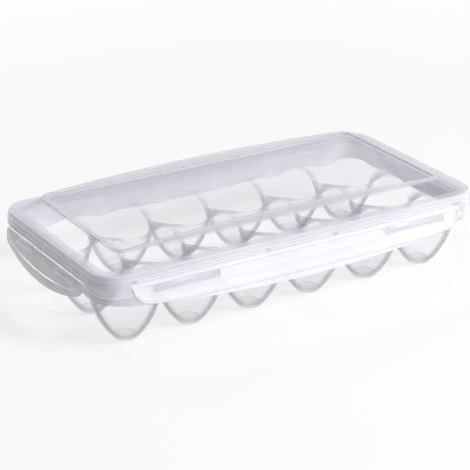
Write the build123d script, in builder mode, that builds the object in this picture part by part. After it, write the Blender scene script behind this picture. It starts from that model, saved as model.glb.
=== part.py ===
from build123d import *
import os
from dataclasses import dataclass
from math import asin, atan, atan2, cos, degrees, pi, radians, sin, tan

# Egg keeper: a tray of hanging egg cups, a domed lid with its seal, and four lock flaps.
# Millimetres, +Z up, the origin under the middle of the keeper on the plane it stands on.
# Every outline is the grid of cups grown by a margin, so widths below are margins or steps of them.

os.makedirs("parts", exist_ok=True)

# The grid of cups, and the room that the tray leaves beyond the cups at each end.
columns = 6
rows = 3
pitch = 50.0
end_room = 3.0

# One cup: a flat foot, a rounded side that ends at its draft, and a mouth that flares to the deck.
cup_wall = 1.2
foot_radius = 8.4
foot_high = 0.8
side_foot = 9.0
side_mouth = 24.1
cup_draft = 12.0
flare_start = 29.5
flare_radius = 10.5

# The tray's wall, the flange round it with its turned-down lip, and the lugs that the flaps catch.
tray_corner = 14.7
wall_margin = 0.2
tray_wall = 1.2
wall_rise = 17.4
flange_wide = 1.2
flange_wall = 1.3
flange_over_deck = 3.5
lip_wall = 1.0
lip_drop = 1.3
lug_undercut = 1.0
lug_nose_high = 1.4
lug_slope_high = 2.0
lug_reach = 1.2
lug_end_play = 1.0

# The lid: flange, skirt with its thicker lower band, dome, panel and stacking ridge.
lid_wall = 1.6
skirt_wall = 1.4
skirt_over_hinge = 0.3
skirt_drop = 10.1
band_step = 0.8
band_drop = 3.7
lid_edge = 1.2
dome_rise = 7.5
dome_inset = 5.0
dome_corner = 11.0
panel_inset = 14.2
panel_ends = 3.2
panel_corner = 9.0
ridge_wide = 3.2
ridge_high = 1.4
ridge_arch = 4.5
ridge_edge = 0.9

# The seal lies in the lid's channel, over the top edge of the tray's wall.
seal_high = 1.9
seal_lap = 0.7
seal_clearance = 0.2
seal_play = 0.1
seal_rib = 1.1
seal_rib_depth = 1.3
seal_stop_lift = 0.5

# Living hinges: each flap hangs on a round bead at the lower edge of a thin web.
hinge_bead = 0.45
hinge_web = 0.5
hinge_gap = 0.4
hinge_under_top = 2.5
hinge_long = 1.3
hinge_ends = 5.0
hinge_break = 4.0
hinge_break_at = 28.0

# Lock flaps: plate, rim bead, fin below it, and a raised band with two slots and a pocket.
flap_wall = 1.4
flap_over_hinge = 0.4
flap_clearance = 0.3
flap_setback = 0.9
flap_end_play = 0.9
flap_drop = 23.7
flap_corner = 14.0
corner_fill = 0.95
flap_tilt = 17.0
fin_deep = 4.1
rim_wide = 3.0
rim_high = 1.4
rim_edge = 0.6
rim_taper = 40.0
rim_below_hinge = 3.0
catch_gap = 0.3
slot_over_lug = 1.6
slot_end = 15.5
slot_corner = 1.2
bar_wide = 4.1
frame_wide = 1.3
frame_high = 0.6

# Shapes that are cut or joined run this far into or past their neighbours.
overlap = 0.3

# Heights, from the cups upwards.
deck = flare_start + flare_radius * (1 - sin(radians(cup_draft)))
tray_top = deck + wall_rise
flange_low = deck + flange_over_deck
flange_high = flange_low + flange_wall
lug_low = flange_high + lug_undercut
lug_nose = lug_low + lug_nose_high
lug_high = lug_nose + lug_slope_high
hinge_height = tray_top - hinge_under_top
lid_under = tray_top + seal_clearance + seal_high
lid_deck = lid_under + lid_wall
panel_high = lid_deck + dome_rise

# Margins, from the grid outwards.
wall_out = wall_margin + tray_wall
flange_out = wall_out + flange_wide
lug_out = flange_out + lug_reach
flap_in = lug_out + flap_clearance
hinge_out = flap_in + flap_over_hinge
lid_out = hinge_out + skirt_over_hinge
rib_out = wall_margin - seal_lap - seal_play
stop_in = wall_out + seal_lap + seal_play

cells_x = columns * pitch
grid_x = cells_x + 2 * end_room
grid_y = rows * pitch


@dataclass
class Side:
    """One side of the keeper, drawn as the front one and then turned about the upright axis."""

    name: str
    turn: float
    depth: float
    along: float
    slot: float
    bow: float
    rim_bow: float

    @property
    def flap_half(self):
        """Half the flap's length: most of the straight part of the lid's edge."""
        return self.along - tray_corner - flap_setback - flap_end_play

    @property
    def slot_centre(self):
        """How far from the middle of the side each lock slot lies."""
        return self.flap_half - slot_end - self.slot / 2


sides = [
    Side("front", 0, depth=grid_y / 2, along=grid_x / 2, slot=52, bow=9, rim_bow=2.5),
    Side("rear", 180, depth=grid_y / 2, along=grid_x / 2, slot=52, bow=9, rim_bow=2.5),
    Side("left", -90, depth=grid_x / 2, along=grid_y / 2, slot=26, bow=11, rim_bow=7),
    Side("right", 90, depth=grid_x / 2, along=grid_y / 2, slot=26, bow=11, rim_bow=7),
]


def outline(margin, corner, mode=Mode.ADD):
    """A rounded rectangle that stands margin outside the grid of cups and its end room."""
    return RectangleRounded(grid_x + 2 * margin, grid_y + 2 * margin, corner, mode=mode)


def ring(low, high, inner, outer):
    """A level ring between two margins outside the grid, from height low to height high."""
    with BuildPart() as band:
        with BuildSketch(Plane.XY.offset(low)):
            outline(outer, tray_corner + outer)
            outline(inner, tray_corner + inner, mode=Mode.SUBTRACT)
        extrude(amount=high - low)
    return band.part


def above_cup(inset):
    """The space above one cup's surface, or above its outer face where inset is 0.

    The side is an arc through the foot that ends at the mouth, where it leans out by the draft.
    """
    lean = radians(cup_draft)
    run = side_mouth - side_foot
    rise = flare_start - foot_high
    side_radius = (run**2 + rise**2) / (2 * (run * cos(lean) - rise * sin(lean)))
    side_in = side_mouth - side_radius * cos(lean)
    side_high = flare_start + side_radius * sin(lean)
    side = side_radius - inset
    floor = foot_high + inset
    foot_angle = degrees(asin((side_high - floor) / side))
    flare = flare_radius + inset
    flare_out = side_mouth + flare_radius * cos(lean)
    flare_high = flare_start - flare_radius * sin(lean)
    reach = 2 * pitch
    with BuildPart() as space:
        with BuildSketch(Plane.XZ):
            with BuildLine():
                bowl = CenterArc((side_in, side_high), side, -foot_angle, foot_angle - cup_draft)
                mouth = CenterArc((flare_out, flare_high), flare, 180 - cup_draft, cup_draft - 90)
                Polyline(
                    mouth @ 1,
                    (reach, flare_high + flare),
                    (reach, tray_top),
                    (0, tray_top),
                    (0, floor),
                    bowl @ 0,
                )
            make_face()
        revolve(axis=Axis.Z)
        if inset == 0:
            Cylinder(foot_radius, deck, align=(Align.CENTER, Align.CENTER, Align.MIN))
    return space.part


over_face = above_cup(0)
over_wall = above_cup(cup_wall)


def cup_place(column, row):
    """The axis of one cup, counted from the left and from the front."""
    return ((column - (columns - 1) / 2) * pitch, (row - (rows - 1) / 2) * pitch)


# The cells of all the cups: the corners are cut off, so that they stay inside the tray's wall.
with BuildSketch() as cells:
    Rectangle(cells_x, grid_y)
    chamfer(cells.vertices(), length=tray_corner - end_room)

# Egg cup: one cell of the tray, cut square where it runs into its neighbours.
with BuildPart() as cup_cell:
    add(over_face)
    add(over_wall, mode=Mode.SUBTRACT)
    Box(pitch, pitch, 2 * tray_top, mode=Mode.INTERSECT)

for row in range(rows):
    for column in range(columns):
        with BuildPart() as egg_cup:
            with Locations(cup_place(column, row)):
                add(cup_cell.part)
            extrude(cells.sketch, amount=tray_top, mode=Mode.INTERSECT)
        egg_cup.part.label = f"egg_cup_{row + 1}_{column + 1}"
        export_step(egg_cup.part, f"parts/{egg_cup.part.label}.step")


def rim_cell(across, along):
    """The tray's edge beside one cup: the deck strip outside the cells and the wall over it.

    The cup stands across and along from the centre, and its strip reaches out past the wall.
    """
    reach = 2 * (wall_out + end_room)
    low_x = across - pitch / 2
    high_x = across + pitch / 2
    low_y = along - pitch / 2
    high_y = along + pitch / 2
    if high_x > (cells_x - pitch) / 2:
        high_x = cells_x / 2 + reach
    if high_y > (grid_y - pitch) / 2:
        high_y = grid_y / 2 + reach
    with BuildPart() as hollow:
        with BuildSketch():
            outline(wall_margin, tray_corner + wall_margin)
        extrude(amount=tray_top)
        with Locations((across, along)):
            add(over_wall, mode=Mode.INTERSECT)
    with BuildPart() as cell:
        with BuildSketch():
            outline(wall_out, tray_corner + wall_out)
            add(cells.sketch, mode=Mode.SUBTRACT)
            with Locations(((low_x + high_x) / 2, (low_y + high_y) / 2)):
                Rectangle(high_x - low_x, high_y - low_y, mode=Mode.INTERSECT)
        extrude(amount=tray_top)
        with Locations((across, along)):
            add(over_face, mode=Mode.INTERSECT)
        add(hollow.part, mode=Mode.SUBTRACT)
    return cell.part


def lugs(side):
    """The two lugs of one side, hooked outwards over the flange."""
    start = side.slot_centre - side.slot / 2 + lug_end_play
    root = -side.depth - wall_out + overlap
    face = -side.depth - flange_out
    nose = -side.depth - lug_out
    with BuildPart() as pair:
        with BuildSketch(Plane.YZ.offset(start)):
            with BuildLine():
                Polyline(
                    (root, flange_high - overlap),
                    (face, flange_high - overlap),
                    (face, lug_low),
                    (nose, lug_low),
                    (nose, lug_nose),
                    (face, lug_high),
                    (root, lug_high),
                    close=True,
                )
            make_face()
        extrude(amount=side.slot - 2 * lug_end_play)
        mirror(about=Plane.YZ)
    return pair.part


# Tray rim: deck strip, wall, flange with its turned-down lip, and the lugs.
with BuildPart() as tray_rim:
    for row in range(rows // 2, rows):
        for column in range(columns // 2, columns):
            if row == rows - 1 or column == columns - 1:
                add(rim_cell(*cup_place(column, row)))
    mirror(about=Plane.YZ)
    mirror(about=Plane.XZ)
    add(ring(flange_low, flange_high, wall_out - overlap, flange_out))
    add(ring(flange_low - lip_drop, flange_high, flange_out - lip_wall, flange_out))
    for side in sides:
        add(lugs(side), rotation=(0, 0, side.turn))
tray_rim.part.label = "tray_rim"
export_step(tray_rim.part, "parts/tray_rim.step")


def hinge(side):
    """The living hinge of one side: thin webs under the skirt, each ending in a round bead."""
    end = side.flap_half - hinge_ends
    near = hinge_break_at - hinge_break / 2
    far = hinge_break_at + hinge_break / 2
    with BuildPart() as strip:
        for start, stop in [(-end, -far), (-near, near), (far, end)]:
            with BuildSketch(Plane.YZ.offset(start)):
                with Locations((-side.depth - hinge_out, hinge_height)):
                    Circle(hinge_bead)
                    Rectangle(hinge_web, hinge_long + overlap, align=(Align.CENTER, Align.MIN))
            extrude(amount=stop - start)
    return strip.part


def flap_gap(side):
    """The stretch of skirt that is left out below one side's hinge."""
    with BuildPart() as gap:
        with Locations((0, -side.depth - lid_out + skirt_wall / 2, 0)):
            Box(
                2 * (side.flap_half + flap_end_play),
                3 * skirt_wall,
                hinge_height + hinge_long,
                align=(Align.CENTER, Align.CENTER, Align.MIN),
            )
    return gap.part


def dome(inset, low, high):
    """The solid inside the dome's sloping sides, taken in by inset, from height low to height high.

    The sides run from the dome's foot on the deck to the panel, and the ends slope more gently.
    """
    slope = (panel_inset - dome_inset) / dome_rise
    with BuildPart() as body:
        for high_here, corner in ((low, dome_corner), (high, panel_corner)):
            margin = (lid_deck - high_here) * slope - dome_inset - inset
            ends = (lid_deck - high_here) * panel_ends / dome_rise
            with BuildSketch(Plane.XY.offset(high_here)):
                RectangleRounded(grid_x + 2 * (margin + ends), grid_y + 2 * margin, corner)
        loft(ruled=True)
    return body.part


# Stacking ridge: a raised line round the panel, arched along the keeper's length.
panel_x = grid_x - 2 * (panel_inset + panel_ends)
panel_y = grid_y - 2 * panel_inset
ridge_top = panel_high + ridge_high + ridge_arch
arch_radius = ((panel_x / 2) ** 2 + ridge_arch**2) / (2 * ridge_arch)
with BuildPart() as ridge:
    with BuildSketch(Plane.XY.offset(lid_deck)):
        RectangleRounded(panel_x, panel_y, panel_corner)
        RectangleRounded(
            panel_x - 2 * ridge_wide,
            panel_y - 2 * ridge_wide,
            panel_corner - ridge_wide,
            mode=Mode.SUBTRACT,
        )
    extrude(amount=ridge_top - lid_deck)
    with Locations((0, 0, ridge_top - arch_radius)):
        Cylinder(arch_radius, grid_y, rotation=(90, 0, 0), mode=Mode.INTERSECT)
    fillet(ridge.faces().sort_by(Axis.Z)[-1].edges(), radius=ridge_edge)


# Lid: flange, dome, ridge, skirt with its lower band, seal ribs and the webs of the hinges.
deck_out = lid_out - band_step
dome_wall = lid_wall / cos(atan2(panel_inset - dome_inset, dome_rise))
with BuildPart() as lid:
    with BuildSketch(Plane.XY.offset(lid_under)):
        outline(deck_out, tray_corner + deck_out)
    extrude(amount=lid_wall)
    fillet(lid.faces().sort_by(Axis.Z)[-1].edges(), radius=lid_edge)
    add(dome(0, lid_deck, panel_high))
    add(ridge.part)
    add(dome(dome_wall, lid_under, panel_high - lid_wall), mode=Mode.SUBTRACT)
    add(ring(tray_top - seal_rib_depth, lid_under + overlap, rib_out - seal_rib, rib_out))
    add(ring(tray_top + seal_stop_lift, lid_under + overlap, stop_in, stop_in + seal_rib))
    add(ring(lid_deck - band_drop, lid_under + overlap, lid_out - skirt_wall, deck_out))
    add(ring(lid_deck - skirt_drop, lid_deck - band_drop, lid_out - skirt_wall, lid_out))
    for side in sides:
        add(flap_gap(side), rotation=(0, 0, side.turn), mode=Mode.SUBTRACT)
        add(hinge(side), rotation=(0, 0, side.turn))
lid.part.label = "lid"
export_step(lid.part, "parts/lid.step")


# Seal: a soft square ring in the channel between the two seal ribs.
with BuildPart() as seal:
    add(ring(tray_top + seal_clearance, lid_under, wall_margin - seal_lap, wall_out + seal_lap))
seal.part.label = "seal"
export_step(seal.part, "parts/seal.step")


def flap_face(side, low, bow):
    """The outline of a flap down to an edge that lies at height low in the middle and bows up."""
    half = side.flap_half
    top = hinge_height - hinge_bead - hinge_gap
    with BuildSketch() as face:
        with BuildLine():
            Polyline((-half, low + bow), (-half, top), (half, top), (half, low + bow))
            ThreePointArc((half, low + bow), (0, low), (-half, low + bow))
        make_face()
    return face.sketch


def lock_flap(side):
    """One lock flap: plate, rim bead, a raised band with two slots and a pocket, tilted out."""
    low = hinge_height - flap_drop
    slot_low = lug_low - catch_gap
    slot_high = lug_high + slot_over_lug
    slot_mid = (slot_low + slot_high) / 2
    slot_tall = slot_high - slot_low
    band_low = slot_low - bar_wide
    band_high = slot_high + frame_wide
    band_half = side.slot_centre + side.slot / 2 + frame_wide
    pocket_half = side.slot_centre - side.slot / 2 - frame_wide
    # Each lower corner is no rounder than the flap's upright end has room for.
    end_high = hinge_height - hinge_bead - hinge_gap - low - side.bow
    end_turn = pi / 2 - 2 * atan(side.bow / side.flap_half)
    corner_room = corner_fill * end_high / tan(end_turn / 2)
    face = Plane.XZ.offset(side.depth + flap_in)
    with BuildSketch() as plate:
        add(flap_face(side, low, side.bow))
        fillet(plate.vertices().group_by(Axis.Y)[0], radius=min(flap_corner, corner_room))
    with BuildSketch() as rim:
        add(plate.sketch)
        add(flap_face(side, low + fin_deep, side.rim_bow), mode=Mode.INTERSECT)
        offset(amount=-rim_wide, mode=Mode.SUBTRACT)
        Rectangle(4 * side.flap_half, 2 * (hinge_height - rim_below_hinge), mode=Mode.INTERSECT)
    with BuildPart() as flap:
        with BuildSketch(face):
            add(rim.sketch)
        extrude(amount=flap_wall + rim_high - rim_edge)
        extrude(flap.faces().sort_by(Axis.Y)[0], amount=rim_edge, taper=rim_taper)
        with BuildSketch(face):
            add(plate.sketch)
        extrude(amount=flap_wall)
        with BuildSketch(face):
            with Locations((0, (band_low + band_high) / 2)):
                RectangleRounded(2 * band_half, band_high - band_low, slot_corner + frame_wide)
            with Locations((0, slot_mid)):
                RectangleRounded(2 * pocket_half, slot_tall, slot_corner, mode=Mode.SUBTRACT)
            add(plate.sketch, mode=Mode.INTERSECT)
        extrude(amount=flap_wall + frame_high)
        with BuildSketch(face):
            with Locations((-side.slot_centre, slot_mid), (side.slot_centre, slot_mid)):
                RectangleRounded(side.slot, slot_tall, slot_corner)
        extrude(amount=flap_wall + frame_high, mode=Mode.SUBTRACT)
    hinge_line = Axis((0, -side.depth - hinge_out, hinge_height), (1, 0, 0))
    return flap.part.rotate(hinge_line, -flap_tilt)


for side in sides:
    with BuildPart() as flap:
        add(lock_flap(side), rotation=(0, 0, side.turn))
    flap.part.label = f"{side.name}_flap"
    export_step(flap.part, f"parts/{flap.part.label}.step")
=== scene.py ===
"""Egg keeper for eighteen eggs: tray of hanging cups, seal, domed lid and four lock flaps."""

import bpy
import numpy as np
from mathutils import Matrix


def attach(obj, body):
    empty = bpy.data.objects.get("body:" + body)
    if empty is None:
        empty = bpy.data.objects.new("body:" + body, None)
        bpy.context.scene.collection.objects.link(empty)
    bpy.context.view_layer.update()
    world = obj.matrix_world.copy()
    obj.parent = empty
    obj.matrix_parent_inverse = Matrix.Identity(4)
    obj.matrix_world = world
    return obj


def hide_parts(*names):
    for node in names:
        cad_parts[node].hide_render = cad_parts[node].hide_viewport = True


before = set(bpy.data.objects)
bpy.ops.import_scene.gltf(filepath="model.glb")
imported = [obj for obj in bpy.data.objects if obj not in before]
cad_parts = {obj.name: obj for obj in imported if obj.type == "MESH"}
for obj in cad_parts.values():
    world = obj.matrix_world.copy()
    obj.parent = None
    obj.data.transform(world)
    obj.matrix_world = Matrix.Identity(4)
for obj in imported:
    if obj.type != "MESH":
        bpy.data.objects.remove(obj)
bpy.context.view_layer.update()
scene = bpy.context.scene


# The tray: eighteen egg cups that hang from one deck, and a wall round them with a flange for
# stiffness. It is one thin sheet of clear polypropylene, injection moulded in a single shot, so
# cups, deck, wall, flange and the eight lock lugs are one skin without a joint.

# The grid of cups, in millimetres like all sizes up to the studio's, and the room beyond its ends.
PITCH = 50.0
COLUMNS = 6
ROWS = 3
END_ROOM = 3.0
TRAY_CORNER = 14.7
HALF_LONG = COLUMNS * PITCH / 2 + END_ROOM
HALF_SHORT = ROWS * PITCH / 2

# One cup: a flat foot with an eased edge, a rounded side, and a mouth that flares to the deck.
CUP_WALL = 1.2
DRAFT = np.radians(12.0)
FOOT_RADIUS = 8.4
FOOT_HIGH = 0.8
FOOT_EDGE = 0.35
FOOT_TURN = 0.1
FOOT_RING = 4.0
SIDE_FOOT = 9.0
SIDE_MOUTH = 24.1
FLARE_START = 29.5
FLARE_RADIUS = 10.5

# The wall round the cups, and its flange with the turned-down lip.
WALL_IN = 0.2
WALL_THICK = 1.2
WALL_RISE = 17.4
FLANGE_WIDE = 1.2
FLANGE_THICK = 1.3
FLANGE_OVER_DECK = 3.5
LIP_THICK = 1.0
LIP_DROP = 1.3
RIM_BAND = 3.0
RIM_EASE = (0.4, 0.4, 0.3, 0.4, 0.4, 0.3, 0.1)

# How every mesh is made. A millimetre is given in metres. Points within a weld step are one, and
# the shift keeps round sizes off the steps' edges; places as near as NEAR are the same. An ease
# takes at most this share of a side, and a fold over the sharp angle shows as an edge.
MILLIMETRE = 0.001
WELD_STEP = 0.002
WELD_SHIFT = 0.31
NEAR = 1e-6
MOST_EASED = 0.45
SHARP_ANGLE = np.radians(38)

# A cup's side is an arc from the foot that ends at the draft. There the flare's arc takes over,
# with its centre outside the cup.
side_run = SIDE_MOUTH - SIDE_FOOT
side_rise = FLARE_START - FOOT_HIGH
side_lean = side_run * np.cos(DRAFT) - side_rise * np.sin(DRAFT)
SIDE_RADIUS = (side_run**2 + side_rise**2) / (2 * side_lean)
SIDE_IN = SIDE_MOUTH - SIDE_RADIUS * np.cos(DRAFT)
SIDE_HIGH = FLARE_START + SIDE_RADIUS * np.sin(DRAFT)
FLARE_OUT = SIDE_MOUTH + FLARE_RADIUS * np.cos(DRAFT)
FLARE_HIGH = FLARE_START - FLARE_RADIUS * np.sin(DRAFT)

# Widths are margins outside the outline of the cups and their end room, and heights build up from
# the deck.
WALL_OUT = WALL_IN + WALL_THICK
FLANGE_OUT = WALL_OUT + FLANGE_WIDE
LIP_IN = FLANGE_OUT - LIP_THICK
DECK = FLARE_HIGH + FLARE_RADIUS
TRAY_TOP = DECK + WALL_RISE
FLANGE_LOW = DECK + FLANGE_OVER_DECK
FLANGE_HIGH = FLANGE_LOW + FLANGE_THICK
LIP_LOW = FLANGE_LOW - LIP_DROP


def stations(steps, breaks):
    """Places round a rounded rectangle, as shares of the way to its corner centres and directions.

    A straight side is the corner centres' line at the given shares of its half length, with one
    outward direction; a corner stays at its centre while the direction turns by a quarter.
    """
    turn = np.linspace(0, np.pi / 2, steps + 1)
    long_side, short_side = breaks
    share, way = [], []
    for side, along in enumerate((long_side, short_side, long_side, short_side)):
        angle = side * np.pi / 2
        spin = np.array([[np.cos(angle), np.sin(angle)], [-np.sin(angle), np.cos(angle)]])
        straight = np.stack([along, np.full(len(along), -1.0)], 1)
        corner = np.stack([np.full(steps - 1, 1.0), np.full(steps - 1, -1.0)], 1)
        round_way = np.stack([np.sin(turn[1:-1]), -np.cos(turn[1:-1])], 1)
        share += [straight @ spin, corner @ spin]
        way += [np.tile([[0.0, -1.0]], (len(along), 1)) @ spin, round_way @ spin]
    return np.concatenate(share), np.concatenate(way)


def loop(places, half_x, half_y, corner, height):
    """Points of a rounded rectangle: corner centres by share, plus the corner radius outwards."""
    share, way = places
    half = np.array([half_x, half_y]) - corner
    flat = share * half + way * corner
    return np.column_stack([flat, np.broadcast_to(height, len(flat))])


def tray_loop(places, margin, height):
    """Points of the tray's own outline, grown outwards by a margin, at one height or at many."""
    return loop(places, HALF_LONG + margin, HALF_SHORT + margin, TRAY_CORNER + margin, height)


def eased(profile, ease, steps=4):
    """A profile whose inner corners are eased: each is a parabola between points on its two sides.

    The parabola starts and ends at the given distance from the corner, one for all corners or one
    for each, though no further than just under half way along a side. The corner is its middle
    control point, so it is the blend (1 - t)^2 start + 2 t (1 - t) corner + t^2 end.
    """
    profile = np.asarray(profile, float)
    corner = profile[1:-1]
    before = profile[:-2] - corner
    after = profile[2:] - corner
    reach = np.broadcast_to(np.asarray(ease, float), len(corner))[:, None]
    share_before = reach / np.linalg.norm(before, axis=1, keepdims=True)
    share_after = reach / np.linalg.norm(after, axis=1, keepdims=True)
    start = (corner + before * np.minimum(share_before, MOST_EASED))[:, None]
    end = (corner + after * np.minimum(share_after, MOST_EASED))[:, None]
    t = np.linspace(0, 1, steps)[None, :, None]
    curve = (1 - t) ** 2 * start + 2 * t * (1 - t) * corner[:, None] + t**2 * end
    return np.concatenate([profile[:1], curve.reshape(-1, profile.shape[1]), profile[-1:]])


def net(points, turned=False):
    """The quads between the rows of a grid of points whose rows close on themselves.

    Each quad runs along the rows' order first and then round the row, so it faces the way that
    order times round points; turned quads face the other way.
    """
    rows, across = points.shape[:2]
    index = np.arange(rows * across).reshape(rows, across)
    ahead = np.roll(index, -1, axis=1)
    quads = np.stack([index[:-1], index[1:], ahead[1:], ahead[:-1]], -1).reshape(-1, 4)
    return points.reshape(-1, 3), quads[:, ::-1] if turned else quads


def make_piece(name, parts, finishes, finish_of=None):
    """One object from several nets of quads: equal points are joined and flattened quads dropped.

    Points that round to the same weld step are one point. A quad with one pair of equal corners
    becomes a triangle. Lengths come in millimetres and go out in metres.
    """
    starts = np.cumsum([0] + [len(points) for points, _ in parts])
    points = np.concatenate([points for points, _ in parts])
    quads = np.concatenate([quads + start for (_, quads), start in zip(parts, starts)])
    of_part = np.concatenate([np.full(len(quads), i) for i, (_, quads) in enumerate(parts)])
    step = np.floor(points / WELD_STEP + WELD_SHIFT).astype(np.int64)
    _, first, back = np.unique(step, axis=0, return_index=True, return_inverse=True)
    quads = back.reshape(-1)[quads]
    same = quads == np.roll(quads, -1, axis=1)
    whole = ~same.any(axis=1) & (quads[:, 0] != quads[:, 2]) & (quads[:, 1] != quads[:, 3])
    cut = same.sum(axis=1) == 1
    triangles = quads[cut][~same[cut]].reshape(-1, 3)
    mesh = bpy.data.meshes.new(name)
    faces = quads[whole].tolist() + triangles.tolist()
    mesh.from_pydata((points[first] * MILLIMETRE).tolist(), [], faces)
    for finish in finishes:
        mesh.materials.append(finish)
    if finish_of is not None:
        slots = np.asarray(finish_of)[np.concatenate([of_part[whole], of_part[cut]])]
        mesh.polygons.foreach_set("material_index", slots.astype(np.int32))
    mesh.shade_smooth()
    mesh.set_sharp_from_angle(angle=SHARP_ANGLE)
    mesh.update()
    piece = bpy.data.objects.new(name, mesh)
    scene.collection.objects.link(piece)
    return piece


def steps_between(edges, count):
    """Shares from -1 to 1 that pass through every given edge, with count steps in each stretch."""
    runs = [np.linspace(a, b, count + 1)[:-1] for a, b in zip(edges[:-1], edges[1:])]
    return np.concatenate(runs + [edges[-1:]])


# How finely the tray is drawn. Its outline has a place at every line between two cells.
CELL_STEPS = 14
CORNER_STEPS = 10
SHARED_EDGE_STEPS = 18
SIDE_STEPS = 14
FLARE_STEPS = 8
long_half = HALF_LONG - TRAY_CORNER
short_half = HALF_SHORT - TRAY_CORNER
cell_lines_x = (np.arange(COLUMNS - 1) + 1 - COLUMNS / 2) * PITCH
cell_lines_y = (np.arange(ROWS - 1) + 1 - ROWS / 2) * PITCH
long_edges = np.concatenate([[-long_half], cell_lines_x, [long_half]])
short_edges = np.concatenate([[-short_half], cell_lines_y, [short_half]])
long_steps = steps_between(long_edges, CELL_STEPS) / long_half
short_steps = steps_between(short_edges, CELL_STEPS) / short_half
tray_places = stations(CORNER_STEPS, (long_steps, short_steps))
cup_x = (np.arange(COLUMNS) + 0.5 - COLUMNS / 2) * PITCH
cup_y = (np.arange(ROWS) + 0.5 - ROWS / 2) * PITCH


def flare_point(angle, inset):
    """Radius and height on the flare: its centre and its radius at an angle to the level."""
    radius = FLARE_RADIUS + inset
    return FLARE_OUT - radius * np.cos(angle), FLARE_HIGH + radius * np.sin(angle)


def flare_angle(reach, inset):
    """The flare's angle at a given distance from the cup's axis, no further than its crest."""
    return np.arccos(np.clip((FLARE_OUT - reach) / (FLARE_RADIUS + inset), 0, 1))


def mouth_height(flat, inset):
    """Height of the deck's surface: the flare's height at the distance to the nearest cup axis."""
    away = np.min(
        np.hypot(
            flat[:, None, None, 0] - cup_x[None, :, None],
            flat[:, None, None, 1] - cup_y[None, None, :],
        ),
        axis=(1, 2),
    )
    return flare_point(flare_angle(away, inset), inset)[1]


def cell_edge(column, row, margin):
    """The edge of one cup's cell seen from the cup's axis, in order of direction.

    Towards a neighbour it is the straight line half way, at even steps of direction. Towards the
    wall it is the tray's outline grown by the margin.
    """
    axis = np.array([cup_x[column], cup_y[row]])
    half = PITCH / 2
    outer = tray_loop(tray_places, margin, 0.0)[:, :2] - axis
    reach = np.stack([outer.min(0), outer.max(0)])
    shared = np.array([[column > 0, row > 0], [column < COLUMNS - 1, row < ROWS - 1]])
    reach = np.where(shared, [[-half], [half]], reach)
    edge = [outer[((outer > reach[0] - NEAR) & (outer < reach[1] + NEAR)).all(axis=1)]]
    for across in (0, 1):
        turn = np.linspace(*np.arctan(reach[:, 1 - across] / half), SHARED_EDGE_STEPS + 1)
        for end in np.flatnonzero(shared[:, across]):
            line = np.stack([np.full(len(turn), reach[end, across]), half * np.tan(turn)], 1)
            edge.append(line if across == 0 else line[:, ::-1])
    edge = np.concatenate(edge)
    edge = edge[np.argsort(np.arctan2(edge[:, 1], edge[:, 0]))]
    return edge[np.hypot(*(edge - np.roll(edge, 1, axis=0)).T) > NEAR]


def cup_face(column, row, margin, inset):
    """One face of a cup and its share of the deck: rays from the axis to the edge of its cell.

    The foot is level, the side an arc that ends at the draft, and the mouth a flare of rising
    angle up to the deck. A face inset by the wall's thickness is the cup's inner one.
    """
    edge = cell_edge(column, row, margin)
    reach = np.hypot(edge[:, 0], edge[:, 1])
    way = edge / reach[:, None]
    floor = FOOT_HIGH + inset
    side = SIDE_RADIUS - inset
    turn = np.linspace(np.arcsin((SIDE_HIGH - floor) / side), DRAFT, SIDE_STEPS + 1)
    arc = np.stack([SIDE_IN + side * np.cos(turn), SIDE_HIGH - side * np.sin(turn)], 1)
    if inset == 0:
        foot = [
            (0, 0),
            (FOOT_RING, 0),
            (FOOT_RADIUS - FOOT_EDGE, 0),
            (FOOT_RADIUS - FOOT_TURN, FOOT_TURN),
            (FOOT_RADIUS, FOOT_EDGE),
            (FOOT_RADIUS, FOOT_HIGH),
        ]
    else:
        foot = [(0, floor), (FOOT_RING, floor)]
    cup = np.concatenate([foot, arc])
    rise = np.linspace(0, 1, FLARE_STEPS + 1)[1:, None]
    angle = DRAFT + (flare_angle(reach, inset) - DRAFT) * rise
    flare_radius, flare_height = flare_point(angle, inset)
    round_cup = np.repeat(cup[..., None], len(reach), axis=2)
    radius = np.concatenate([round_cup[:, 0], flare_radius, reach[None]])
    height = np.concatenate([round_cup[:, 1], flare_height, flare_height[-1:]])
    rays = radius[..., None] * way + [cup_x[column], cup_y[row]]
    return np.concatenate([rays, height[..., None]], -1)


def along_side(points, depth, turn):
    """Points drawn as (along, outwards, up) from the front side's face, turned to another side."""
    cos, sin = np.cos(turn), np.sin(turn)
    x = points[..., 0]
    y = -depth - points[..., 1]
    return np.stack([x * cos - y * sin, x * sin + y * cos, points[..., 2]], -1)


def bar(section, start, stop, ease=0.0):
    """A closed bar: a section (outwards, up) carried along a side, its ends drawn to their middle.

    Each end eases in by the given length: the section shrinks about its middle by it there.
    """
    middle = section.mean(axis=0)
    size = np.abs(section - middle).max()
    small = 1 - ease / size
    along = np.array([start, start, start + ease, stop - ease, stop, stop])
    scale = np.array([0, small, 1, 1, small, 0])
    flat = middle + (section - middle) * scale[:, None, None]
    return np.concatenate([np.broadcast_to(along[:, None, None], flat.shape[:2] + (1,)), flat], -1)


# For each side: its turn from the front, its depth from the middle, half its flap's length and the
# length of one of its two lock slots. A flap fills the straight part of its side.
FLAP_ENDS = 1.8
SLOT_END = 15.5
LONG_SLOT = 52.0
SHORT_SLOT = 26.0
straight_end = TRAY_CORNER + FLAP_ENDS
sides = {
    "front": (0.0, HALF_SHORT, HALF_LONG - straight_end, LONG_SLOT),
    "rear": (np.pi, HALF_SHORT, HALF_LONG - straight_end, LONG_SLOT),
    "left": (-np.pi / 2, HALF_LONG, HALF_SHORT - straight_end, SHORT_SLOT),
    "right": (np.pi / 2, HALF_LONG, HALF_SHORT - straight_end, SHORT_SLOT),
}

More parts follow.
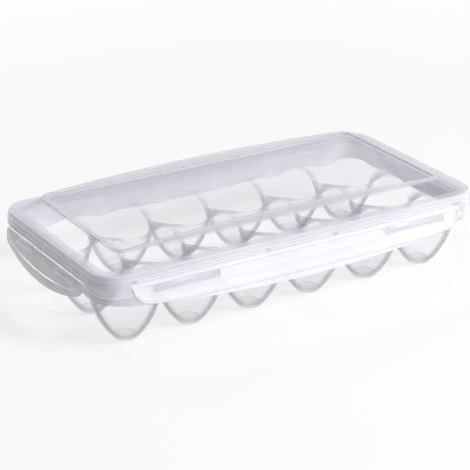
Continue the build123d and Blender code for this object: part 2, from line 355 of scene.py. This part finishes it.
tray_parts = []
for column in range(COLUMNS):
    for row in range(ROWS):
        tray_parts.append(net(cup_face(column, row, WALL_IN, CUP_WALL)))
        tray_parts.append(net(cup_face(column, row, WALL_OUT, 0.0), turned=True))
inner = tray_loop(tray_places, WALL_IN, 0.0)
outer = tray_loop(tray_places, WALL_OUT, 0.0)
inner[:, 2] = mouth_height(inner[:, :2], CUP_WALL)
outer[:, 2] = mouth_height(outer[:, :2], 0.0)
rim_profile = eased(
    [
        (WALL_IN, TRAY_TOP - RIM_BAND),
        (WALL_IN, TRAY_TOP),
        (WALL_OUT, TRAY_TOP),
        (WALL_OUT, FLANGE_HIGH),
        (FLANGE_OUT, FLANGE_HIGH),
        (FLANGE_OUT, LIP_LOW),
        (LIP_IN, LIP_LOW),
        (LIP_IN, FLANGE_LOW),
        (WALL_OUT, FLANGE_LOW),
    ],
    RIM_EASE,
)
rim_loops = [tray_loop(tray_places, margin, height) for margin, height in rim_profile]
tray_parts.append(net(np.stack([inner, *rim_loops, outer])))

# The lugs stand on the wall above the flange and reach a little into both. Each has play at both
# ends of its slot.
LUG_ROOT = WALL_OUT - 0.3
LUG_FOOT = FLANGE_HIGH - 0.217
LUG_LOW = FLANGE_HIGH + 1.0
LUG_NOSE = LUG_LOW + 1.4
LUG_HIGH = LUG_NOSE + 2.0
LUG_OUT = FLANGE_OUT + 1.2
LUG_PLAY = 1.0
LUG_EASE = 0.25
LUG_END_EASE = 0.3
lug_middle = (LUG_FOOT + LUG_HIGH) / 2
lug_section = eased(
    [
        (LUG_ROOT, lug_middle),
        (LUG_ROOT, LUG_FOOT),
        (FLANGE_OUT, LUG_FOOT),
        (FLANGE_OUT, LUG_LOW),
        (LUG_OUT, LUG_LOW),
        (LUG_OUT, LUG_NOSE),
        (FLANGE_OUT, LUG_HIGH),
        (LUG_ROOT, LUG_HIGH),
        (LUG_ROOT, lug_middle),
    ],
    LUG_EASE,
)[:-1]
for turn, depth, half, slot in sides.values():
    far = half - SLOT_END - LUG_PLAY
    near = half - SLOT_END - slot + LUG_PLAY
    for start, stop in ((near, far), (-far, -near)):
        lug = bar(lug_section, start, stop, LUG_END_EASE)
        tray_parts.append(net(along_side(lug, depth, turn)))


def new_nodes(tree, kinds):
    """Nodes of the given kinds in a node tree, by short name."""
    return {name: tree.nodes.new(kind) for name, kind in kinds.items()}


def set_inputs(nodes, values):
    """Values of the nodes' inputs, each given for its node and socket."""
    for (name, socket), value in values.items():
        nodes[name].inputs[socket].default_value = value


def join(tree, nodes, links):
    """Links of a node tree, each from a node's output to another node's input."""
    for start, output, end, socket in links:
        tree.links.new(nodes[start].outputs[output], nodes[end].inputs[socket])


def plastic_group():
    """Moulded plastic on Object coordinates: cloudy flow marks, a faint orange peel and slow dips.

    Slow noise mixes the clear tint with the milky one and is the haze; it also sets the roughness,
    on top of the gloss. Slow dips and fine peel are added as one height, which a bump turns into a
    normal.
    """
    tree = bpy.data.node_groups.new("moulded_plastic", "ShaderNodeTree")
    colour, number, vector = "NodeSocketColor", "NodeSocketFloat", "NodeSocketVector"
    sockets = {
        "INPUT": {
            "Clear Tint": colour,
            "Milky Tint": colour,
            "Gloss": number,
            "Flow Size": number,
            "Peel Depth": number,
            "Dip Depth": number,
        },
        "OUTPUT": {"Color": colour, "Haze": number, "Roughness": number, "Normal": vector},
    }
    for way_round, kinds in sockets.items():
        for name, kind in kinds.items():
            tree.interface.new_socket(name=name, in_out=way_round, socket_type=kind)
    n = new_nodes(
        tree,
        {
            "given": "NodeGroupInput",
            "made": "NodeGroupOutput",
            "place": "ShaderNodeTexCoord",
            "flow": "ShaderNodeTexNoise",
            "peel": "ShaderNodeTexNoise",
            "dips": "ShaderNodeTexNoise",
            "haze": "ShaderNodeMapRange",
            "tint": "ShaderNodeMix",
            "cloudy": "ShaderNodeMapRange",
            "rough": "ShaderNodeMath",
            "peel_high": "ShaderNodeMath",
            "high": "ShaderNodeMath",
            "bump": "ShaderNodeBump",
        },
    )
    n["tint"].data_type = "RGBA"
    n["rough"].operation = "ADD"
    n["peel_high"].operation = "MULTIPLY"
    n["high"].operation = "MULTIPLY_ADD"
    set_inputs(
        n,
        {
            ("flow", "Detail"): 3.0,
            ("flow", "Distortion"): 0.6,
            ("peel", "Scale"): 420.0,
            ("peel", "Detail"): 2.0,
            ("dips", "Scale"): 34.0,
            ("dips", "Detail"): 1.0,
            ("haze", "From Min"): 0.32,
            ("haze", "From Max"): 0.68,
            ("cloudy", "To Max"): 0.12,
            ("bump", "Distance"): 0.001,
            ("bump", "Strength"): 1.0,
        },
    )
    join(
        tree,
        n,
        [
            ("place", "Object", "flow", "Vector"),
            ("place", "Object", "peel", "Vector"),
            ("place", "Object", "dips", "Vector"),
            ("given", "Flow Size", "flow", "Scale"),
            ("flow", "Fac", "haze", "Value"),
            ("haze", "Result", "tint", "Factor"),
            ("given", "Clear Tint", "tint", "A"),
            ("given", "Milky Tint", "tint", "B"),
            ("haze", "Result", "cloudy", "Value"),
            ("cloudy", "Result", "rough", 0),
            ("given", "Gloss", "rough", 1),
            ("peel", "Fac", "peel_high", 0),
            ("given", "Peel Depth", "peel_high", 1),
            ("dips", "Fac", "high", 0),
            ("given", "Dip Depth", "high", 1),
            ("peel_high", "Value", "high", 2),
            ("high", "Value", "bump", "Height"),
            ("tint", "Result", "made", "Color"),
            ("haze", "Result", "made", "Haze"),
            ("rough", "Value", "made", "Roughness"),
            ("bump", "Normal", "made", "Normal"),
        ],
    )
    return tree


PLASTIC_IOR = 1.49
COVER_START = 0.4
moulded = plastic_group()


def see_through(
    name, clear, milky, facing, edge_on, haze, gloss, shade=0.4, flow=9.0, peel=0.012, dips=0.1
):
    """Polypropylene that hides more the flatter it is seen: its cover goes from facing to edge-on.

    The share that a surface covers is the value facing the eye, blended to the edge-on one by the
    layer weight, plus the flow marks' haze. Milky plastic passes light on as it scatters it, so
    towards the lamps it covers only the given share of that.
    """
    finish = bpy.data.materials.new(name)
    finish.use_nodes = True
    tree = finish.node_tree
    tree.nodes.clear()
    n = new_nodes(
        tree,
        {
            "out": "ShaderNodeOutputMaterial",
            "plastic": "ShaderNodeBsdfPrincipled",
            "moulded": "ShaderNodeGroup",
            "slant": "ShaderNodeLayerWeight",
            "cover": "ShaderNodeMapRange",
            "alpha": "ShaderNodeMath",
            "ray": "ShaderNodeLightPath",
            "shade": "ShaderNodeMapRange",
            "shown": "ShaderNodeMath",
        },
    )
    n["moulded"].node_tree = moulded
    n["cover"].interpolation_type = "SMOOTHSTEP"
    n["alpha"].operation = "MULTIPLY_ADD"
    n["alpha"].use_clamp = True
    n["shown"].operation = "MULTIPLY"
    set_inputs(
        n,
        {
            ("moulded", "Clear Tint"): (*clear, 1),
            ("moulded", "Milky Tint"): (*milky, 1),
            ("moulded", "Gloss"): gloss,
            ("moulded", "Flow Size"): flow,
            ("moulded", "Peel Depth"): peel,
            ("moulded", "Dip Depth"): dips,
            ("plastic", "IOR"): PLASTIC_IOR,
            ("slant", "Blend"): 0.5,
            ("cover", "From Min"): COVER_START,
            ("cover", "To Min"): facing,
            ("cover", "To Max"): edge_on,
            ("alpha", 1): haze,
            ("shade", "To Min"): 1.0,
            ("shade", "To Max"): shade,
        },
    )
    join(
        tree,
        n,
        [
            ("slant", "Facing", "cover", "Value"),
            ("moulded", "Haze", "alpha", 0),
            ("cover", "Result", "alpha", 2),
            ("alpha", "Value", "shown", 0),
            ("ray", "Is Shadow Ray", "shade", "Value"),
            ("shade", "Result", "shown", 1),
            ("shown", "Value", "plastic", "Alpha"),
            ("moulded", "Color", "plastic", "Base Color"),
            ("moulded", "Roughness", "plastic", "Roughness"),
            ("moulded", "Normal", "plastic", "Normal"),
            ("plastic", "BSDF", "out", "Surface"),
        ],
    )
    return finish


tray_plastic = see_through(
    "clear_tray_plastic",
    clear=(0.46, 0.45, 0.52),
    milky=(0.66, 0.65, 0.72),
    facing=0.02,
    edge_on=0.80,
    haze=0.02,
    gloss=0.05,
)
rim_plastic = see_through(
    "milky_tray_rim",
    clear=(0.80, 0.79, 0.85),
    milky=(0.87, 0.86, 0.91),
    facing=0.50,
    edge_on=0.90,
    haze=0.04,
    gloss=0.08,
    shade=0.2,
)
finish_of = np.arange(len(tray_parts)) >= 2 * COLUMNS * ROWS
tray = make_piece("tray", tray_parts, [tray_plastic, rim_plastic], finish_of)
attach(tray, "tray")
cups = [f"egg_cup_{row + 1}_{column + 1}" for row in range(ROWS) for column in range(COLUMNS)]
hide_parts("tray_rim", *cups)


# The seal: a soft, square, translucent ring that lies in the channel under the lid's edge and
# closes on the top of the tray's wall. It is silicone, moulded flat and pressed in by hand.

seal_rubber = see_through(
    "seal_silicone",
    clear=(0.86, 0.86, 0.90),
    milky=(0.93, 0.93, 0.95),
    facing=0.25,
    edge_on=0.70,
    haze=0.08,
    gloss=0.42,
    peel=0.04,
)
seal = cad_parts["seal"]
seal.material_slots[0].material = seal_rubber


# The lid: a flat edge, a low dome with sloping sides, and a panel inside an arched stacking ridge.
# It is injection moulded in clear polypropylene; its skirt and the ribs that hold the seal are
# thicker and look milkier. The skirt is cut away over each flap, so it is whole at the corners.

# The edge: its skirt with the wider lower band, open over each flap, and the two ribs under it,
# one that stops the seal outside the wall and one that holds it inside.
LID_WALL = 1.6
LID_OUT = 4.8
SKIRT_THICK = 1.4
SKIRT_DROP = 10.1
SKIRT_EDGE = 0.35
SKIRT_TURN = 0.1
BAND_WIDE = 0.8
BAND_DROP = 3.7
BAND_EDGE = 0.6
GAP_ROOM = 0.9
GAP_STEP = 0.02
SEAL_GAP = 0.2
SEAL_THICK = 1.9
STOP_RIB_OUT = WALL_OUT + 0.8
STOP_RIB_LOW = TRAY_TOP + 0.5
STOP_RIB_FOOT = 0.2
SEAL_RIB_OUT = WALL_IN - 0.8
SEAL_RIB_IN = SEAL_RIB_OUT - 1.1
SEAL_RIB_LOW = TRAY_TOP - 1.3
HINGE_HIGH = TRAY_TOP - 2.5
HINGE_COVER = 1.3
UNDER_EASE = (0.05, 0.25, 0.1, 0.1, 0.3, 0.3, 0.3, 1.0, 1.5)
UNDER_STEPS = 4

# The dome, the panel and the ridge.
DOME_RISE = 7.5
DOME_INSET = 5.0
DOME_CORNER = 11.0
DOME_EASE = (0.1, 2.0, 1.2, 0.2, 0.3)
DOME_STEPS = 6
PANEL_INSET = 14.2
PANEL_ENDS = 3.2
PANEL_CORNER = 9.0
PANEL_MIDDLE = (120.0, 45.0, 5.0)
PANEL_CLEAR = 8.0
# How far in from the panel's edge a painted highlight line begins; it runs out to the ridge's
# foot.
PAINTED_HIGHLIGHT_INSET = 5.4
RIDGE_THICK = 3.2
RIDGE_SIDE = 1.2
RIDGE_EASE = 0.9
RIDGE_STEPS = 5
RIDGE_FOOT = 0.1
RIDGE_ARCH = 4.5
RIDGE_TOP = 72.27

# The lid lies on the seal, and the seal just over the tray's wall. Its dome leans in to the panel,
# which is drawn in a little more at the ends.
LID_UNDER = TRAY_TOP + SEAL_GAP + SEAL_THICK
LID_DECK = LID_UNDER + LID_WALL
PANEL_TOP = LID_DECK + DOME_RISE
PANEL_UNDER = PANEL_TOP - LID_WALL
DECK_OUT = LID_OUT - BAND_WIDE
SKIRT_IN = LID_OUT - SKIRT_THICK
BAND_TOP = LID_DECK - BAND_DROP
SKIRT_LOW = LID_DECK - SKIRT_DROP
SKIRT_HIGH = HINGE_HIGH + HINGE_COVER
dome_lean = (PANEL_INSET - DOME_INSET) / DOME_RISE
dome_wall = LID_WALL / np.cos(np.arctan(dome_lean))


def outline_size(margin, height):
    """Half sizes, corner radius and height of the tray's outline grown by a margin."""
    return HALF_LONG + margin, HALF_SHORT + margin, TRAY_CORNER + margin, height


def dome_size(inset, height, corner):
    """Half sizes, corner radius and height of a loop of the dome, inset level from its outer face.

    The face moves in by the lean for each millimetre above the deck, and by the ends' share too
    along the keeper.
    """
    rise = height - LID_DECK
    side = DOME_INSET + rise * dome_lean + inset
    end = side + rise * PANEL_ENDS / DOME_RISE
    return HALF_LONG - end, HALF_SHORT - side, corner, height


PANEL = np.array(dome_size(0.0, PANEL_TOP, PANEL_CORNER)[:3])
RIDGE_RADIUS = (PANEL[0] ** 2 + RIDGE_ARCH**2) / (2 * RIDGE_ARCH)


def ridge_loop(places, inward, under_top):
    """A line of the ridge, a step inward from its outer face and some way under its arched top.

    The arch is a circle over the keeper's length: top - radius + sqrt(radius^2 - x^2) - under_top.
    """
    line = loop(places, *(PANEL - inward), 0.0)
    arch = np.sqrt(RIDGE_RADIUS**2 - line[:, 0] ** 2) - RIDGE_RADIUS
    line[:, 2] = RIDGE_TOP + arch - under_top
    return line


def edge_steps(gap, half, count):
    """Even shares along a side, and two close places at each end of the flap's gap."""
    near = np.array([gap - GAP_STEP, gap + GAP_STEP]) / half
    return np.concatenate([[-1], -near[::-1], np.linspace(-1, 1, count)[1:-1], near, [1]])


# The skirt is cut away over each flap and the room at its ends, up to just above the hinge.
GAP_LONG = sides["front"][2] + GAP_ROOM
GAP_SHORT = sides["left"][2] + GAP_ROOM
LONG_STEPS = 49
SHORT_STEPS = 21
LID_CORNER_STEPS = 12
lid_places = stations(
    LID_CORNER_STEPS,
    (
        edge_steps(GAP_LONG, long_half, LONG_STEPS),
        edge_steps(GAP_SHORT, short_half, SHORT_STEPS),
    ),
)
share, way = lid_places
over_flap = (np.abs(share[:, 0]) * long_half < GAP_LONG) & (way[:, 0] == 0)
over_flap |= (np.abs(share[:, 1]) * short_half < GAP_SHORT) & (way[:, 1] == 0)
skirt_edge = np.where(over_flap, SKIRT_HIGH, SKIRT_LOW)

# The upper face from the panel's middle out to the skirt, down it, and back in under the lid.
panel_rows = [loop(lid_places, 0, 0, 0, PANEL_TOP)]
for inward in (PANEL_CLEAR, PAINTED_HIGHLIGHT_INSET, RIDGE_THICK):
    panel_rows.append(loop(lid_places, *(PANEL - inward), PANEL_TOP))
ridge_profile = eased(
    [(RIDGE_THICK, RIDGE_SIDE), (RIDGE_THICK, 0.0), (0.0, 0.0), (0.0, RIDGE_SIDE)],
    RIDGE_EASE,
    RIDGE_STEPS,
)
ridge_rows = [ridge_loop(lid_places, inward, under) for inward, under in ridge_profile]
dome_profile = eased(
    [
        (*PANEL, PANEL_TOP + RIDGE_FOOT),
        (*PANEL, PANEL_TOP),
        dome_size(0.0, LID_DECK, DOME_CORNER),
        outline_size(DECK_OUT, LID_DECK),
        outline_size(DECK_OUT, BAND_TOP),
        outline_size(LID_OUT, BAND_TOP),
        outline_size(LID_OUT, BAND_TOP - BAND_EDGE),
    ],
    DOME_EASE,
    DOME_STEPS,
)
dome_rows = [loop(lid_places, *size) for size in dome_profile]
skirt_profile = [
    (LID_OUT, SKIRT_EDGE),
    (LID_OUT - SKIRT_TURN, SKIRT_TURN),
    (LID_OUT - SKIRT_EDGE, 0.0),
    (SKIRT_IN + SKIRT_EDGE, 0.0),
    (SKIRT_IN + SKIRT_TURN, SKIRT_TURN),
    (SKIRT_IN, SKIRT_EDGE),
]
skirt_rows = [tray_loop(lid_places, margin, skirt_edge + up) for margin, up in skirt_profile]
under_profile = eased(
    [
        outline_size(SKIRT_IN, STOP_RIB_LOW - STOP_RIB_FOOT),
        outline_size(SKIRT_IN, STOP_RIB_LOW),
        outline_size(STOP_RIB_OUT, STOP_RIB_LOW),
        outline_size(STOP_RIB_OUT, LID_UNDER),
        outline_size(SEAL_RIB_OUT, LID_UNDER),
        outline_size(SEAL_RIB_OUT, SEAL_RIB_LOW),
        outline_size(SEAL_RIB_IN, SEAL_RIB_LOW),
        outline_size(SEAL_RIB_IN, LID_UNDER),
        dome_size(dome_wall, LID_UNDER, DOME_CORNER),
        dome_size(dome_wall, PANEL_UNDER, PANEL_CORNER),
        (*PANEL_MIDDLE, PANEL_UNDER),
    ],
    UNDER_EASE,
    UNDER_STEPS,
)
under_rows = [loop(lid_places, *size) for size in under_profile]
under_rows += [loop(lid_places, 0, 0, 0, PANEL_UNDER)]

# The lid's bands of one finish. They meet at the inner edge of the painted highlight, at the
# ridge's feet, at the deck's inner and outer turns, and at the root of the rib inside the seal.
# The strip of panel just inside the ridge's feet is a painted highlight line in the milky finish
# of the lid's edge.
deck_in = 2 * DOME_STEPS - 1
deck_out = 2 * DOME_STEPS + 1
rib_root = 6 * UNDER_STEPS + 2
clear_panel = panel_rows[:3]
# A strip of the panel along the ridge's inner foot, in the edge's milky finish: a painted
# highlight line.
painted_highlight_strip = panel_rows[2:]
stacking_ridge = [panel_rows[-1], *ridge_rows, dome_rows[0]]
clear_dome = dome_rows[: deck_in + 1]
milky_deck = dome_rows[deck_in : deck_out + 1]
lid_edge = [*dome_rows[deck_out:], *skirt_rows, *under_rows[: rib_root + 1]]
clear_under = under_rows[rib_root:]

lid_clear = see_through(
    "clear_lid_plastic",
    clear=(0.68, 0.67, 0.75),
    milky=(0.78, 0.77, 0.84),
    facing=0.03,
    edge_on=0.50,
    haze=0.03,
    gloss=0.05,
)
ridge_plastic = see_through(
    "thick_ridge_plastic",
    clear=(0.66, 0.65, 0.71),
    milky=(0.76, 0.75, 0.80),
    facing=0.50,
    edge_on=0.95,
    haze=0.04,
    gloss=0.05,
)
deck_plastic = see_through(
    "milky_lid_deck",
    clear=(0.62, 0.61, 0.67),
    milky=(0.72, 0.71, 0.77),
    facing=0.36,
    edge_on=0.88,
    haze=0.05,
    gloss=0.10,
)
# The milky skirt and ribs; the same finish also paints a highlight line along the ridge's inner
# foot.
edge_and_highlight_plastic = see_through(
    "milky_lid_edge_and_painted_highlight",
    clear=(0.84, 0.82, 0.90),
    milky=(0.94, 0.93, 0.97),
    facing=0.42,
    edge_on=0.92,
    haze=0.06,
    gloss=0.09,
    shade=0.25,
)
lid_finishes = [lid_clear, ridge_plastic, deck_plastic, edge_and_highlight_plastic]
lid_bands = (
    (clear_panel, lid_clear),
    # a painted highlight line on the panel, in the milky edge finish
    (painted_highlight_strip, edge_and_highlight_plastic),
    (stacking_ridge, ridge_plastic),
    (clear_dome, lid_clear),
    (milky_deck, deck_plastic),
    (lid_edge, edge_and_highlight_plastic),
    (clear_under, lid_clear),
)
lid_parts = [net(np.stack(rows)) for rows, _ in lid_bands]
finish_of = [lid_finishes.index(finish) for _, finish in lid_bands]
lid = make_piece("lid_shell", lid_parts, lid_finishes, finish_of)
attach(lid, "lid")
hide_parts("lid")


# The living hinges: a web half a millimetre thick under the skirt, in three runs on each side,
# ending in a round bead that the flap turns on. They are moulded with the lid and whiten in use.

HINGE_OUT = LID_OUT - 0.3
BEAD_RADIUS = 0.45
BEAD_STEPS = 16
WEB_HALF = 0.25
WEB_HIGH = 1.6
HINGE_ENDS = 5.0
MIDDLE_RUN = 26.0
RUN_BREAK = 4.0

# The bead's circle is open where the web leaves it upwards.
web_turn = np.arcsin(WEB_HALF / BEAD_RADIUS)
bead = np.linspace(np.pi / 2 + web_turn, np.pi * 5 / 2 - web_turn, BEAD_STEPS + 1)
hinge_section = np.stack([np.cos(bead), np.sin(bead)], 1) * BEAD_RADIUS
hinge_section = np.concatenate([hinge_section, [(WEB_HALF, WEB_HIGH), (-WEB_HALF, WEB_HIGH)]])
hinge_section = hinge_section + [HINGE_OUT, HINGE_HIGH]
hinge_parts = []
for turn, depth, half, _ in sides.values():
    end = half - HINGE_ENDS
    near = MIDDLE_RUN + RUN_BREAK
    for start, stop in ((-end, -near), (-MIDDLE_RUN, MIDDLE_RUN), (near, end)):
        hinge_parts.append(net(along_side(bar(hinge_section, start, stop), depth, turn)))
hinge_plastic = see_through(
    "whitened_hinge_plastic",
    clear=(0.90, 0.90, 0.93),
    milky=(0.96, 0.96, 0.97),
    facing=0.60,
    edge_on=0.90,
    haze=0.08,
    gloss=0.25,
)
hinges = make_piece("living_hinges", hinge_parts, [hinge_plastic])
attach(hinges, "lid")


# The lock flaps: one on each side, a plate that hangs from the living hinge, with a bowed rim
# bead, two slots that snap over the tray's lugs and a pocket between them. Milky polypropylene.

flap_plastic = see_through(
    "milky_flap_plastic",
    clear=(0.92, 0.91, 0.95),
    milky=(0.97, 0.96, 0.98),
    facing=0.62,
    edge_on=0.94,
    haze=0.05,
    gloss=0.09,
    shade=0.2,
)
for name in sides:
    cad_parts[f"{name}_flap"].material_slots[0].material = flap_plastic


# The studio: a plain white floor that takes the keeper's soft shadow and fades into an even white
# surround, one soft lamp from the front and a weaker one from behind. Its sizes are in metres.

FLOOR_HALF = 1.0
FADE_START = 0.30
FADE_END = 0.95
PAPER = (0.50, 0.50, 0.51, 1)
FLOOR_SEEN = 0.515
SURROUND_LIGHT = 0.27
SURROUND_SEEN = 1.0
LAMP_TARGET = (0, 0, 0.04)
VIEW_MIDDLE = (-0.005507, 0.000993, 0.030130)
VIEW_AWAY = 1.309224
VIEW_TURN = np.radians(31.7626)
VIEW_RISE = np.radians(22.8735)
VIEW_ROLL = np.radians(0.1791)
FILM_WIDTH = 36.0
FOCAL_LENGTH = 136.53


def seen_rays(tree):
    """A node with 1 for a ray from the eye, a gloss or glass, and 0 for one that gathers light."""
    n = new_nodes(
        tree,
        {"ray": "ShaderNodeLightPath", "mirrored": "ShaderNodeMath", "seen": "ShaderNodeMath"},
    )
    for name in ("mirrored", "seen"):
        n[name].operation = "ADD"
        n[name].use_clamp = True
    join(
        tree,
        n,
        [
            ("ray", "Is Glossy Ray", "mirrored", 0),
            ("ray", "Is Transmission Ray", "mirrored", 1),
            ("ray", "Is Camera Ray", "seen", 0),
            ("mirrored", "Value", "seen", 1),
        ],
    )
    return n["seen"]


def aimed(place, back, roll=0.0):
    """A matrix at a place whose Z points back from what it looks at, turned about Z by a roll.

    The level axis is up cross back, and the upper one back cross level; the roll turns both.
    """
    back = np.asarray(back, float) / np.linalg.norm(back)
    level = np.cross([0, 0, 1], back)
    level /= np.linalg.norm(level)
    upper = np.cross(back, level)
    cos, sin = np.cos(roll), np.sin(roll)
    turned = np.eye(4)
    turned[:3, :3] = np.stack([level * cos + upper * sin, upper * cos - level * sin, back], 1)
    turned[:3, 3] = place
    return Matrix(turned.tolist())


def soft_lamp(name, place, size, power):
    """A square lamp at a place, facing the keeper."""
    lamp = bpy.data.lights.new(name, "AREA")
    lamp.shape = "SQUARE"
    lamp.size = size
    lamp.energy = power
    shown = bpy.data.objects.new(name, lamp)
    shown.matrix_world = aimed(place, np.subtract(place, LAMP_TARGET))
    scene.collection.objects.link(shown)


floor_corners = np.array([(-1, -1, 0), (1, -1, 0), (1, 1, 0), (-1, 1, 0)]) * FLOOR_HALF
floor_mesh = bpy.data.meshes.new("floor")
floor_mesh.from_pydata(floor_corners.tolist(), [], [(0, 1, 2, 3)])
floor = bpy.data.objects.new("floor", floor_mesh)
scene.collection.objects.link(floor)
floor_finish = bpy.data.materials.new("white_floor")
floor_finish.use_nodes = True
tree = floor_finish.node_tree
tree.nodes.clear()
n = new_nodes(
    tree,
    {
        "out": "ShaderNodeOutputMaterial",
        "paper": "ShaderNodeBsdfDiffuse",
        "glow": "ShaderNodeEmission",
        "both": "ShaderNodeAddShader",
        "bright": "ShaderNodeMath",
        "place": "ShaderNodeTexCoord",
        "away": "ShaderNodeVectorMath",
        "fade": "ShaderNodeMapRange",
        "clear": "ShaderNodeBsdfTransparent",
        "ground": "ShaderNodeMixShader",
    },
)
n["seen"] = seen_rays(tree)
n["away"].operation = "LENGTH"
n["fade"].interpolation_type = "SMOOTHSTEP"
n["bright"].operation = "MULTIPLY"
set_inputs(
    n,
    {
        ("fade", "From Min"): FADE_START,
        ("fade", "From Max"): FADE_END,
        ("paper", "Color"): PAPER,
        ("bright", 1): FLOOR_SEEN,
    },
)
join(
    tree,
    n,
    [
        ("seen", "Value", "bright", 0),
        ("bright", "Value", "glow", "Strength"),
        ("paper", "BSDF", "both", 0),
        ("glow", "Emission", "both", 1),
        ("place", "Object", "away", 0),
        ("away", "Value", "fade", "Value"),
        ("fade", "Result", "ground", "Fac"),
        ("both", "Shader", "ground", 1),
        ("clear", "BSDF", "ground", 2),
        ("ground", "Shader", "out", "Surface"),
    ],
)
floor_mesh.materials.append(floor_finish)

world = bpy.data.worlds.new("white_surround")
scene.world = world
world.use_nodes = True
tree = world.node_tree
tree.nodes.clear()
n = new_nodes(
    tree,
    {
        "out": "ShaderNodeOutputWorld",
        "sky": "ShaderNodeBackground",
        "strength": "ShaderNodeMapRange",
    },
)
n["seen"] = seen_rays(tree)
set_inputs(
    n,
    {
        ("sky", "Color"): (1, 1, 1, 1),
        ("strength", "To Min"): SURROUND_LIGHT,
        ("strength", "To Max"): SURROUND_SEEN,
    },
)
join(
    tree,
    n,
    [
        ("seen", "Value", "strength", "Value"),
        ("strength", "Result", "sky", "Strength"),
        ("sky", "Background", "out", "Surface"),
    ],
)

soft_lamp("key_lamp", (1.05, -1.70, 1.70), size=0.85, power=54.0)
soft_lamp("back_lamp", (-0.3, 1.2, 0.9), size=0.4, power=4.5)

# The camera looks at the keeper from the front left and from above.
view_back = np.array(
    [
        -np.sin(VIEW_TURN) * np.cos(VIEW_RISE),
        -np.cos(VIEW_TURN) * np.cos(VIEW_RISE),
        np.sin(VIEW_RISE),
    ]
)
lens = bpy.data.cameras.new("camera")
lens.sensor_width = FILM_WIDTH
lens.lens = FOCAL_LENGTH
lens.clip_start = 0.05
lens.clip_end = 30.0
camera = bpy.data.objects.new("camera", lens)
camera.matrix_world = aimed(VIEW_MIDDLE + view_back * VIEW_AWAY, view_back, VIEW_ROLL)
scene.collection.objects.link(camera)
scene.camera = camera
scene.view_settings.view_transform = "Standard"
scene.cycles.transparent_max_bounces = 48
